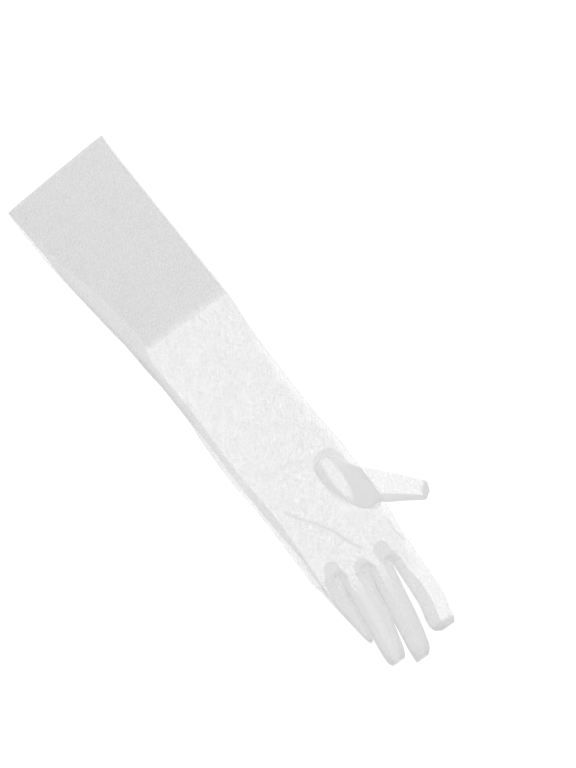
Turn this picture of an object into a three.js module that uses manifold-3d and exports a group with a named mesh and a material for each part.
// A sheer tulle evening glove, left hand, lying flat with its palm up.
// Millimetres. +Y runs from the cuff to the fingertips, -X is the thumb's side and +Z is up.
import * as THREE from "three";
import { mergeVertices } from "three/addons/utils/BufferGeometryUtils.js";
import Module from "manifold-3d";

const wasm = await Module();
wasm.setup();

// Driving lengths
const ARM_LENGTH = 270;
const HAND_LENGTH = 101;
const INDEX_LENGTH = 63.5;
const MIDDLE_LENGTH = 77.5;
const RING_LENGTH = 75.5;
const LITTLE_LENGTH = 56;
const THUMB_LENGTH = 41;
const FACING_LENGTH = 145;

// Driving widths, measured flat
const CUFF_WIDTH = 93;
const WRIST_WIDTH = 80;
const PALM_WIDTH = 76;
const THUMB_BASE_WIDTH = 32.5;
const THUMB_TIP_WIDTH = 14;
const THUMB_HOLE_LENGTH = 52;
const THUMB_HOLE_WIDTH = 22;
const THUMB_ALLOWANCE = 3;
const FACING_NARROWING = 10;
const SEAM_WIDTH = 5;
const SEAM_RIB = 1.2;

// Driving heights above the table
const CUFF_HEIGHT = 13;
const WRIST_HEIGHT = 11.5;
const PALM_HEIGHT = 11;
const FINGER_HEIGHT = 8.6;
const THUMB_HEIGHT = 7;

// Cloth and clearances
const WALL = 1;
const SEAM_THICKNESS = 1.6;
const PLY_GAP = 0.3;
const ALLOWANCE_GAP = 0.7;
const FACING_GAP = 0.6;
const FINGER_GAP = 0.7;

// Slants of the cuff edge and of the line of finger forks, as rise over width, and the share of
// ARM_LENGTH along which the cuff's slant dies away
const CUFF_SLANT = 0.07;
const FORK_SLANT = -0.3;
const SLANT_REACH = 0.4;

// The thumb's direction, in degrees from straight out sideways towards the fingertips, and the
// tilt of its oval hole, in degrees from the glove's length
const THUMB_ANGLE = 43;
const THUMB_HOLE_TILT = -19;

// Roundness of the flattened sections: 2 is an ellipse, more is squarer. The underside is pressed
// flat on the table where it would reach lower by the share BASE_PRESS.
const ARM_ROUNDNESS = 4;
const FINGER_ROUNDNESS = 2.6;
const THUMB_ROUNDNESS = 2.4;
const BASE_PRESS = 1.04;

// How fine the surfaces are
const ARM_RINGS = 19;
const HAND_RINGS = 16;
const FINGER_RINGS = 9;
const TOP_STEPS = 14;
const BASE_STEPS = 8;
const FINGER_STEPS = 6;
const THUMB_STEPS = 14;
const CURVE_STEPS = 6;
const TIP_CROWDING = 1.4;

const WRIST_Y = ARM_LENGTH;
const KNUCKLE_Y = ARM_LENGTH + HAND_LENGTH;

// Arm sections, from the cuff to the wrist. at is a share of ARM_LENGTH, shift of CUFF_WIDTH.
// taper goes from CUFF_WIDTH, 0, to WRIST_WIDTH, 1, and settle from CUFF_HEIGHT to WRIST_HEIGHT.
const ARM_SECTIONS = [
  { at: 0.0, shift: 0.012, taper: 0.0, settle: 0.0 },
  { at: 0.138, shift: -0.006, taper: -0.03, settle: 0.12 },
  { at: 0.275, shift: -0.037, taper: 0.1, settle: 0.22 },
  { at: 0.413, shift: -0.075, taper: 0.35, settle: 0.36 },
  { at: 0.551, shift: -0.114, taper: 0.62, settle: 0.62 },
  { at: 0.647, shift: -0.114, taper: 0.9, settle: 0.82 },
  { at: 0.826, shift: -0.13, taper: 1.0, settle: 0.95 },
  { at: 0.964, shift: -0.138, taper: 0.84, settle: 1.0 },
  { at: 1.0, shift: -0.15, taper: 0.84, settle: 1.0 },
];

// Hand sections, from the wrist to the finger forks. at is a share of HAND_LENGTH, shift and width
// are shares of PALM_WIDTH, height is a share of PALM_HEIGHT and slant of FORK_SLANT.
const HAND_SECTIONS = [
  { at: 0.0, shift: 0.0, width: 1.08, height: 1.045, slant: 0.0 },
  { at: 0.125, shift: -0.018, width: 1.072, height: 1.0, slant: 0.0 },
  { at: 0.272, shift: -0.027, width: 1.062, height: 1.0, slant: 0.05 },
  { at: 0.493, shift: -0.031, width: 1.062, height: 1.0, slant: 0.25 },
  { at: 0.676, shift: -0.029, width: 1.046, height: 0.95, slant: 0.5 },
  { at: 0.86, shift: -0.012, width: 1.008, height: 0.86, slant: 0.8 },
  { at: 1.0, shift: -0.013, width: 1.0, height: 0.78, slant: 1.0 },
];

// Lines between the fingers, from the thumb's side. place is a share of PALM_WIDTH from the palm's
// middle, lean is sideways over length, opens is a share of MIDDLE_LENGTH and spread is gap over length.
const FINGER_LINES = [
  { place: -0.505, lean: 0.03, opens: 1.0, spread: 0.0 },
  { place: -0.253, lean: 0.109, opens: 0.06, spread: 0.085 },
  { place: -0.011, lean: 0.164, opens: 0.58, spread: 0.16 },
  { place: 0.275, lean: 0.07, opens: 1.0, spread: 0.0 },
  { place: 0.48, lean: -0.13, opens: 1.0, spread: 0.0 },
];

// Fingers between those lines. tip is the tip's sideways lean as a share of the finger's width.
const FINGERS = [
  { name: "index", length: INDEX_LENGTH, tip: -0.256 },
  { name: "middle", length: MIDDLE_LENGTH, tip: 0.064 },
  { name: "ring", length: RING_LENGTH, tip: -0.16 },
  { name: "little", length: LITTLE_LENGTH, tip: -0.08 },
];

// Every finger's blunt end. at is a share of its length, keep of its width and height of FINGER_HEIGHT.
const FINGER_TIP = [
  { at: -0.2, keep: 1.0, height: 0.96 },
  { at: 0.0, keep: 1.0, height: 0.98 },
  { at: 0.5, keep: 1.0, height: 0.96 },
  { at: 0.78, keep: 1.0, height: 0.94 },
  { at: 0.88, keep: 0.96, height: 0.88 },
  { at: 0.95, keep: 0.82, height: 0.72 },
  { at: 1.0, keep: 0.5, height: 0.45 },
];

// Gussets between the fingers. strip is a share of a finger's width, reach of SEAM_WIDTH into the palm.
const FOURCHETTES = [
  { name: "fourchette_index_middle", line: 1, strip: 0.29, reach: 2.9, head: 1.2 },
  { name: "fourchette_middle_ring", line: 2, strip: 0.29, reach: 2.5, head: 1.2 },
  { name: "fourchette_ring_little", line: 3, strip: 0.29, reach: 2.9, head: 1.2 },
];

// Shares of a finger's length at which its gusset strips and the side seam have their points
const STRIP_STEPS = [-0.05, 0.2, 0.45, 0.7, 0.8, 0.86, 0.9];
const SEAM_STEPS = [0.2, 0.4, 0.6, 0.8, 0.9];

// Folds in the upper cloth. along is a share of the length from cuff to forks, across of PALM_WIDTH
// from the section's middle. width is a share of SEAM_WIDTH and depth of WALL, down where positive.
const FOLDS = [
  { along: 0.815, across: 0.4, toAlong: 0.885, toAcross: 0.08, width: 0.8, depth: 1.6 },
  { along: 0.885, across: 0.08, toAlong: 0.955, toAcross: -0.12, width: 0.8, depth: 1.5 },
  { along: 0.84, across: 0.44, toAlong: 0.9, toAcross: 0.16, width: 0.9, depth: -0.9 },
  { along: 0.9, across: 0.3, toAlong: 0.96, toAcross: 0.2, width: 0.9, depth: 0.8 },
  { along: 0.62, across: -0.3, toAlong: 0.7, toAcross: -0.44, width: 1.2, depth: 1.1 },
  { along: 0.56, across: 0.1, toAlong: 0.6, toAcross: 0.42, width: 1.4, depth: 0.9 },
  { along: 0.66, across: -0.05, toAlong: 0.74, toAcross: 0.3, width: 1.4, depth: -0.8 },
  { along: 0.47, across: -0.35, toAlong: 0.52, toAcross: 0.2, width: 1.5, depth: 1.0 },
  { along: 0.3, across: -0.4, toAlong: 0.34, toAcross: 0.1, width: 1.8, depth: 0.8 },
];

// Where the thumb is set in. The hole's outer edge has its middle at along, a share of HAND_LENGTH
// from the wrist, and across, a share of the hand's width there. The tube starts outOf, a share of
// PALM_WIDTH, and upFrom, a share of THUMB_HOLE_LENGTH, from that point.
const THUMB_PLACE = { along: 0.362, across: -0.442, outOf: 0.049, upFrom: 0.281 };

// Thumb sections round the bend, from the hole to the start of the tube. lean is degrees from lying
// in the palm, 0, to standing across the tube, 90. go is the share of the way to the tube's start.
// width goes from THUMB_HOLE_LENGTH, 0, to THUMB_BASE_WIDTH, 1. depth is a share of THUMB_HOLE_WIDTH.
const THUMB_BEND = [
  { lean: 0, go: 0.0, width: 0.0, depth: 1.0 },
  { lean: 10, go: 0.07, width: 0.03, depth: 0.98 },
  { lean: 18, go: 0.22, width: 0.2, depth: 0.9 },
  { lean: 33, go: 0.45, width: 0.5, depth: 0.58 },
  { lean: 58, go: 0.72, width: 0.78, depth: 0.38 },
];

// Thumb sections along the tube. out is a share of THUMB_LENGTH, turn is degrees towards the
// fingertips, width goes from THUMB_BASE_WIDTH, 0, to THUMB_TIP_WIDTH, 1, height is a share of
// THUMB_HEIGHT and drop is the share of the way down from the palm to the table.
const THUMB_TUBE = [
  { out: 0.0, turn: 0, width: 0.0, height: 1.0, drop: 0.0 },
  { out: 0.12, turn: 3, width: 0.13, height: 1.0, drop: 0.06 },
  { out: 0.25, turn: 6, width: 0.28, height: 1.0, drop: 0.42 },
  { out: 0.4, turn: 9, width: 0.44, height: 1.0, drop: 0.84 },
  { out: 0.56, turn: 14, width: 0.6, height: 1.0, drop: 1.0 },
  { out: 0.75, turn: 22, width: 0.79, height: 0.96, drop: 1.0 },
  { out: 0.9, turn: 31, width: 0.93, height: 0.86, drop: 1.0 },
  { out: 0.97, turn: 36, width: 1.02, height: 0.7, drop: 1.0 },
  { out: 1.0, turn: 38, width: 1.2, height: 0.5, drop: 1.0 },
];

// Smooth value of one column of a table at a given place along it
function column(rows, name, at) {
  const last = rows.length - 1;
  let i = 0;
  while (i < last - 1 && at > rows[i + 1].at) i += 1;
  const before = rows[Math.max(i - 1, 0)];
  const a = rows[i];
  const b = rows[i + 1];
  const after = rows[Math.min(i + 2, last)];
  const t = THREE.MathUtils.clamp((at - a.at) / (b.at - a.at), 0, 1);
  const slopeA = ((b[name] - before[name]) / (b.at - before.at)) * (b.at - a.at);
  const slopeB = ((after[name] - a[name]) / (after.at - a.at)) * (b.at - a.at);
  const t2 = t * t;
  const t3 = t2 * t;
  const startPart = (2 * t3 - 3 * t2 + 1) * a[name] + (t3 - 2 * t2 + t) * slopeA;
  return startPart + (3 * t2 - 2 * t3) * b[name] + (t3 - t2) * slopeB;
}

// The arm and hand's section at a distance y from the cuff
function handSection(y) {
  if (y <= WRIST_Y) {
    const at = y / ARM_LENGTH;
    const taper = column(ARM_SECTIONS, "taper", at);
    const settle = column(ARM_SECTIONS, "settle", at);
    return {
      middle: column(ARM_SECTIONS, "shift", at) * CUFF_WIDTH - SEAM_RIB / 2,
      half: (CUFF_WIDTH + (WRIST_WIDTH - CUFF_WIDTH) * taper - SEAM_RIB) / 2,
      height: CUFF_HEIGHT + (WRIST_HEIGHT - CUFF_HEIGHT) * settle,
      slant: CUFF_SLANT * Math.max(0, 1 - at / SLANT_REACH),
    };
  }
  const at = (y - WRIST_Y) / HAND_LENGTH;
  const wristMiddle = ARM_SECTIONS.at(-1).shift * CUFF_WIDTH - SEAM_RIB / 2;
  return {
    middle: wristMiddle + column(HAND_SECTIONS, "shift", at) * PALM_WIDTH,
    half: (column(HAND_SECTIONS, "width", at) * PALM_WIDTH - SEAM_RIB) / 2,
    height: column(HAND_SECTIONS, "height", at) * PALM_HEIGHT,
    slant: FORK_SLANT * column(HAND_SECTIONS, "slant", at),
  };
}

// Height that the folds add to the upper cloth at x across from the section's middle
function foldRelief(x, y) {
  let relief = 0;
  for (const fold of FOLDS) {
    const start = new THREE.Vector2(fold.across * PALM_WIDTH, fold.along * KNUCKLE_Y);
    const end = new THREE.Vector2(fold.toAcross * PALM_WIDTH, fold.toAlong * KNUCKLE_Y);
    const run = end.clone().sub(start);
    const point = new THREE.Vector2(x, y).sub(start);
    const t = THREE.MathUtils.clamp(point.dot(run) / run.lengthSq(), 0, 1);
    const distance = point.sub(run.multiplyScalar(t)).length();
    relief -= fold.depth * WALL * Math.exp(-((distance / (fold.width * SEAM_WIDTH)) ** 2));
  }
  return relief;
}

// Steps from -1 to 1 that lie closer together near both ends
function acrossSteps(count) {
  return Array.from({ length: count + 1 }, (_, i) => -Math.cos((Math.PI * i) / count));
}

// Half the height of a flattened section, as a share, at u from -1 to 1 across it
function bulge(u, roundness) {
  return (1 - Math.min(1, Math.abs(u)) ** roundness) ** (1 / roundness);
}

// One ring of points round a flattened section. Its underside is flat on the table in the middle.
function flatRing({ x, y, half, low, high, slant, roundness, topSteps, baseSteps, relief }) {
  const ring = [];
  const middleZ = (low + high) / 2;
  const rise = (high - low) / 2;
  const top = acrossSteps(topSteps);
  const base = acrossSteps(baseSteps).slice(1, -1).reverse();
  for (const u of top) {
    const px = u * half;
    const share = bulge(u, roundness);
    const z = middleZ + rise * share + relief(px, y) * share;
    ring.push(new THREE.Vector3(x + px, y + slant * px, z));
  }
  for (const u of base) {
    const px = u * half;
    const z = Math.max(low, middleZ - BASE_PRESS * rise * bulge(u, roundness));
    ring.push(new THREE.Vector3(x + px, y + slant * px, z));
  }
  return ring;
}

// A closed solid through rings of equal numbers of points, with both ends capped
function loft(rings) {
  const points = [];
  const count = rings[0].length;
  for (const ring of rings) points.push(...ring.map((p) => p.toArray()));
  const index = [];
  for (let r = 0; r < rings.length - 1; r += 1) {
    for (let i = 0; i < count; i += 1) {
      const a = r * count + i;
      const b = r * count + ((i + 1) % count);
      index.push(a, a + count, b, b, a + count, b + count);
    }
  }
  for (const [ring, start] of [[rings[0], true], [rings[rings.length - 1], false]]) {
    const centre = ring.reduce((sum, p) => sum.add(p), new THREE.Vector3()).divideScalar(count);
    const hub = points.push(centre.toArray()) - 1;
    const first = start ? 0 : (rings.length - 1) * count;
    for (let i = 0; i < count; i += 1) {
      const a = first + i;
      const b = first + ((i + 1) % count);
      index.push(hub, start ? a : b, start ? b : a);
    }
  }
  const geometry = new THREE.BufferGeometry();
  geometry.setAttribute("position", new THREE.Float32BufferAttribute(points.flat(), 3));
  geometry.setIndex(index);
  return toSolid(geometry);
}

// A three.js geometry as a solid that can be joined and cut
function toSolid(geometry) {
  const bare = geometry.clone();
  bare.deleteAttribute("normal");
  bare.deleteAttribute("uv");
  const merged = mergeVertices(bare, 1e-4);
  const solid = new wasm.Manifold(new wasm.Mesh({
    numProp: 3,
    vertProperties: new Float32Array(merged.attributes.position.array),
    triVerts: new Uint32Array(merged.index.array),
  }));
  return solid.volume() < 0 ? toSolid(flipped(merged)) : solid;
}

// The same geometry with every triangle turned over
function flipped(geometry) {
  const index = Array.from(geometry.index.array);
  for (let i = 0; i < index.length; i += 3) {
    [index[i + 1], index[i + 2]] = [index[i + 2], index[i + 1]];
  }
  geometry.setIndex(index);
  return geometry;
}

// A solid as a three.js geometry
function toGeometry(solid) {
  const mesh = solid.getMesh();
  const geometry = new THREE.BufferGeometry();
  geometry.setAttribute("position", new THREE.BufferAttribute(new Float32Array(mesh.vertProperties), 3));
  geometry.setIndex(Array.from(mesh.triVerts));
  const faceted = geometry.toNonIndexed();
  faceted.computeVertexNormals();
  return faceted;
}

// A solid that stands through the whole glove on a flat outline of [x, y] points
function column3d(outline) {
  const shape = new THREE.Shape(outline.map(([x, y]) => new THREE.Vector2(x, y)));
  const depth = CUFF_HEIGHT * 4;
  const geometry = new THREE.ExtrudeGeometry(shape, { depth, bevelEnabled: false });
  geometry.translate(0, 0, -depth / 2);
  return toSolid(geometry);
}

// The distances from the cuff at which the arm and hand have a ring of points
function ringPlaces() {
  const places = [];
  for (let i = 0; i < ARM_RINGS; i += 1) places.push((ARM_LENGTH * i) / ARM_RINGS);
  for (let i = 0; i <= HAND_RINGS; i += 1) places.push(WRIST_Y + (HAND_LENGTH * i) / HAND_RINGS);
  return places;
}

// The arm and hand as one flattened tube, inset inwards, with a ring at each place
function handTube(inset, places, narrowing = () => 0) {
  const rings = places.map((y) => {
    const section = handSection(THREE.MathUtils.clamp(y, 0, KNUCKLE_Y));
    const narrow = narrowing(y);
    return flatRing({
      x: section.middle - narrow / 2,
      y,
      half: section.half - inset - narrow / 2,
      low: inset,
      high: section.height - inset,
      slant: section.slant,
      roundness: ARM_ROUNDNESS,
      topSteps: TOP_STEPS,
      baseSteps: BASE_STEPS,
      relief: foldRelief,
    });
  });
  return loft(rings);
}

// The line between two fingers at a distance y from the cuff, and the gap on it
function fingerLine(number, y) {
  const line = FINGER_LINES[number];
  const isOutside = number === 0 || number === FINGER_LINES.length - 1;
  const section = handSection(KNUCKLE_Y);
  const run = y - KNUCKLE_Y;
  const open = Math.max(0, run - line.opens * MIDDLE_LENGTH);
  return {
    x: section.middle + line.place * PALM_WIDTH + line.lean * run,
    gap: isOutside ? 0 : FINGER_GAP + line.spread * open,
  };
}

// Where the slanted line of forks crosses x
function forkY(x) {
  return KNUCKLE_Y + FORK_SLANT * (x - handSection(KNUCKLE_Y).middle);
}

// A finger's two edges and its height at a share of its length
function fingerSection(number, at) {
  const finger = FINGERS[number];
  const rootMiddle = (fingerLine(number, KNUCKLE_Y).x + fingerLine(number + 1, KNUCKLE_Y).x) / 2;
  const y = forkY(rootMiddle) + finger.length * at;
  const thumbLine = fingerLine(number, y);
  const littleLine = fingerLine(number + 1, y);
  const left = thumbLine.x + thumbLine.gap / 2;
  const right = littleLine.x - littleLine.gap / 2;
  const keep = Math.min(1, column(FINGER_TIP, "keep", at));
  const lean = finger.tip * (right - left) * (1 - keep);
  return {
    y,
    middle: (left + right) / 2 + lean,
    half: ((right - left) / 2) * keep,
    height: FINGER_HEIGHT * column(FINGER_TIP, "height", at),
  };
}

// One finger as a flattened tube that starts inside the palm
function fingerTube(number, inset) {
  const length = FINGERS[number].length;
  const startAt = FINGER_TIP[0].at;
  const endAt = 1 - inset / length;
  const rings = [];
  for (let i = 0; i <= FINGER_RINGS; i += 1) {
    const t = i / FINGER_RINGS;
    const at = startAt + (endAt - startAt) * (1 - (1 - t) ** TIP_CROWDING);
    const section = fingerSection(number, at);
    rings.push(flatRing({
      x: section.middle,
      y: section.y,
      half: section.half - inset,
      low: inset,
      high: section.height - inset,
      slant: 0,
      roundness: FINGER_ROUNDNESS,
      topSteps: FINGER_STEPS,
      baseSteps: FINGER_STEPS,
      relief: () => 0,
    }));
  }
  return loft(rings);
}

// The raised seam along the little finger's side, from the cuff to the little fingertip
function sideSeam() {
  const bottomY = SEAM_RIB + CUFF_SLANT * CUFF_WIDTH;
  const topY = forkY(fingerLine(FINGER_LINES.length - 1, KNUCKLE_Y).x);
  const sections = [];
  for (let i = 0; i <= ARM_RINGS; i += 1) {
    const y = bottomY + ((topY - bottomY) * i) / ARM_RINGS;
    sections.push({ ...handSection(y), y });
  }
  for (const at of SEAM_STEPS) sections.push(fingerSection(FINGERS.length - 1, at));
  const rings = sections.map(({ middle, half, height, y }) => {
    const outer = middle + half + SEAM_RIB;
    const inner = middle + half - SEAM_RIB;
    const low = (height - SEAM_THICKNESS) / 2;
    const high = (height + SEAM_THICKNESS) / 2;
    return [
      new THREE.Vector3(inner, y, low),
      new THREE.Vector3(outer, y, low),
      new THREE.Vector3(outer, y, high),
      new THREE.Vector3(inner, y, high),
    ];
  });
  return loft(rings);
}

// The flat outline of one side of a gusset: a strip along one finger's edge
function stripOutline(line, fingerNumber, strip, grow) {
  const side = fingerNumber < line ? -1 : 1;
  const far = [];
  const near = [];
  for (const [i, share] of STRIP_STEPS.entries()) {
    const section = fingerSection(fingerNumber, share);
    const startGrowth = i === 0 ? grow : 0;
    const endGrowth = i === STRIP_STEPS.length - 1 ? grow : 0;
    const y = section.y + endGrowth - startGrowth;
    const edge = section.middle - side * section.half;
    far.push([edge + side * (strip * 2 * section.half + grow), y]);
    near.push([fingerLine(line, y).x, y]);
  }
  return [...far, ...near.reverse()];
}

// The column that a gusset fills: two strips and the rounded end that reaches into the palm
function fourchetteColumn({ line, strip, reach, head }, grow) {
  const x = fingerLine(line, KNUCKLE_Y).x;
  const topY = forkY(x) + SEAM_WIDTH + grow;
  const radius = SEAM_WIDTH * head + grow;
  const endY = forkY(x) - SEAM_WIDTH * reach - grow;
  const outline = [];
  for (let i = 0; i <= CURVE_STEPS; i += 1) {
    const angle = Math.PI + (Math.PI * i) / CURVE_STEPS;
    const y = endY + radius + radius * Math.sin(angle);
    outline.push([fingerLine(line, y).x + radius * Math.cos(angle), y]);
  }
  const topX = fingerLine(line, topY).x;
  outline.push([topX + radius, topY]);
  outline.push([topX - radius, topY]);
  return column3d(outline)
    .add(column3d(stripOutline(line, line - 1, strip, grow)))
    .add(column3d(stripOutline(line, line, strip, grow)));
}

// The oval hole in the palm: its outer edge's middle, on the palm's surface
function thumbRoot() {
  const y = WRIST_Y + THUMB_PLACE.along * HAND_LENGTH;
  const section = handSection(y);
  return new THREE.Vector3(section.middle + THUMB_PLACE.across * 2 * section.half, y, section.height);
}

// One ring of the thumb, round a flattened section. It stands on its lower edge and leans back.
function thumbRing({ edge, turn, lean, width, depth, inset, steps }) {
  const turned = THREE.MathUtils.degToRad(turn);
  const leaned = THREE.MathUtils.degToRad(lean);
  const along = new THREE.Vector3(Math.sin(turned), Math.cos(turned), 0);
  const back = new THREE.Vector3(Math.cos(turned), -Math.sin(turned), 0);
  back.multiplyScalar(Math.cos(leaned)).setZ(Math.sin(leaned));
  const ring = [];
  for (let i = 0; i < steps; i += 1) {
    const angle = (2 * Math.PI * i) / steps;
    const c = Math.cos(angle);
    const s = Math.sin(angle);
    const across = Math.sign(c) * Math.abs(c) ** (2 / THUMB_ROUNDNESS);
    const up = Math.sign(s) * Math.abs(s) ** (2 / THUMB_ROUNDNESS);
    const point = edge.clone();
    point.addScaledVector(along, (width / 2 - inset) * across);
    point.addScaledVector(back, depth / 2 + (depth / 2 - inset) * up);
    ring.push(point);
  }
  return ring;
}

// All of the thumb's rings above the palm, inset inwards
function thumbRings(inset) {
  const lerp = THREE.MathUtils.lerp;
  const root = thumbRoot();
  const angle = THREE.MathUtils.degToRad(THUMB_ANGLE);
  const out = new THREE.Vector3(-Math.cos(angle), Math.sin(angle), 0);
  const lift = 2 * PLY_GAP + WALL;
  const start = root.clone();
  start.x -= THUMB_PLACE.outOf * PALM_WIDTH;
  start.y += THUMB_PLACE.upFrom * THUMB_HOLE_LENGTH;
  start.z += lift;
  const steps = THUMB_STEPS;
  const rings = [];
  for (const row of THUMB_BEND) {
    const edge = root.clone().lerp(start, row.go);
    edge.z = root.z + lift * Math.min(1, row.lean / THUMB_BEND[1].lean);
    const width = lerp(THUMB_HOLE_LENGTH, THUMB_BASE_WIDTH, row.width);
    const depth = THUMB_HOLE_WIDTH * row.depth;
    const turn = THUMB_HOLE_TILT * (1 - row.go);
    rings.push(thumbRing({ edge, turn, lean: row.lean, width, depth, inset, steps }));
  }
  for (const row of THUMB_TUBE) {
    const isTip = row === THUMB_TUBE[THUMB_TUBE.length - 1];
    const edge = start.clone().addScaledVector(out, THUMB_LENGTH * row.out - (isTip ? inset : 0));
    edge.z = lerp(start.z, 0, row.drop);
    const width = lerp(THUMB_BASE_WIDTH, THUMB_TIP_WIDTH, row.width);
    const depth = THUMB_HEIGHT * row.height;
    rings.push(thumbRing({ edge, turn: row.turn, lean: 90, width, depth, inset, steps }));
  }
  return rings;
}

// The thumb as one solid tube, inset inwards, that reaches down through the palm to a height
function thumbTube(inset, low) {
  const rings = thumbRings(inset);
  const foot = rings[0].map((point) => point.clone().setZ(low));
  return loft([foot, ...rings]);
}

// A vertical oval sleeve in the thumb hole, inset inwards, between two heights
function thumbSleeve(inset, low, high) {
  const root = thumbRoot();
  const rings = [low, high].map((z) => {
    const edge = root.clone().setZ(z);
    const [width, depth] = [THUMB_HOLE_LENGTH, THUMB_HOLE_WIDTH];
    return thumbRing({ edge, turn: THUMB_HOLE_TILT, lean: 0, width, depth, inset, steps: THUMB_STEPS });
  });
  return loft(rings);
}

// Build the pieces
const places = ringPlaces();
const innerPlaces = [-CUFF_SLANT * CUFF_WIDTH - WALL, ...places.slice(0, -1), KNUCKLE_Y - WALL];
let outer = handTube(0, places).add(sideSeam());
let inner = handTube(WALL, innerPlaces);
const clearHand = handTube(WALL + PLY_GAP, innerPlaces);
for (let number = 0; number < FINGERS.length; number += 1) {
  outer = outer.add(fingerTube(number, 0));
  inner = inner.add(fingerTube(number, WALL));
}
const shell = outer.subtract(inner);

let trank = shell;
const fourchettes = [];
for (const row of FOURCHETTES) {
  fourchettes.push([row.name, shell.intersect(fourchetteColumn(row, 0))]);
  trank = trank.subtract(fourchetteColumn(row, PLY_GAP));
}

const palmTop = thumbRoot().z;
const holeCutter = thumbSleeve(-PLY_GAP, palmTop / 2, palmTop * 2);
trank = trank.subtract(holeCutter);

const allowanceTop = palmTop - WALL - ALLOWANCE_GAP;
const allowanceLow = allowanceTop - WALL;
const allowance = thumbSleeve(-THUMB_ALLOWANCE, allowanceLow, allowanceTop).intersect(clearHand);
const thumbInner = thumbTube(WALL, allowanceLow - WALL);
const thumb = thumbTube(0, allowanceLow).add(allowance).subtract(thumbInner);

const facingNarrowing = (y) => THREE.MathUtils.clamp(y / FACING_LENGTH, 0, 1) * FACING_NARROWING;
const facingPlaces = [...places.filter((y) => y < FACING_LENGTH), FACING_LENGTH];
const facingInnerPlaces = [innerPlaces[0], ...facingPlaces.slice(0, -1), FACING_LENGTH + WALL];
const facingOuter = handTube(WALL + FACING_GAP, facingPlaces, facingNarrowing);
const facing = facingOuter.subtract(handTube(2 * WALL + FACING_GAP, facingInnerPlaces, facingNarrowing));

// Materials: white net, seen through two plies, and denser where four plies lie together
const sheerTulle = new THREE.MeshStandardMaterial({ color: 0xeeeeef, roughness: 0.85, metalness: 0 });
const denseTulle = new THREE.MeshStandardMaterial({ color: 0xdcdcde, roughness: 0.85, metalness: 0 });

const glove = new THREE.Group();
function addPiece(name, solid, material) {
  const mesh = new THREE.Mesh(toGeometry(solid), material);
  mesh.name = name;
  glove.add(mesh);
}
addPiece("trank", trank, sheerTulle);
addPiece("thumb", thumb, sheerTulle);
for (const [name, solid] of fourchettes) addPiece(name, solid, denseTulle);
addPiece("cuff_facing", facing, denseTulle);

// The origin is the middle of the space that the glove takes up on the table
const box = new THREE.Box3().setFromObject(glove);
const centre = box.getCenter(new THREE.Vector3());
glove.position.set(-centre.x, -centre.y, -box.min.z);

export default glove;
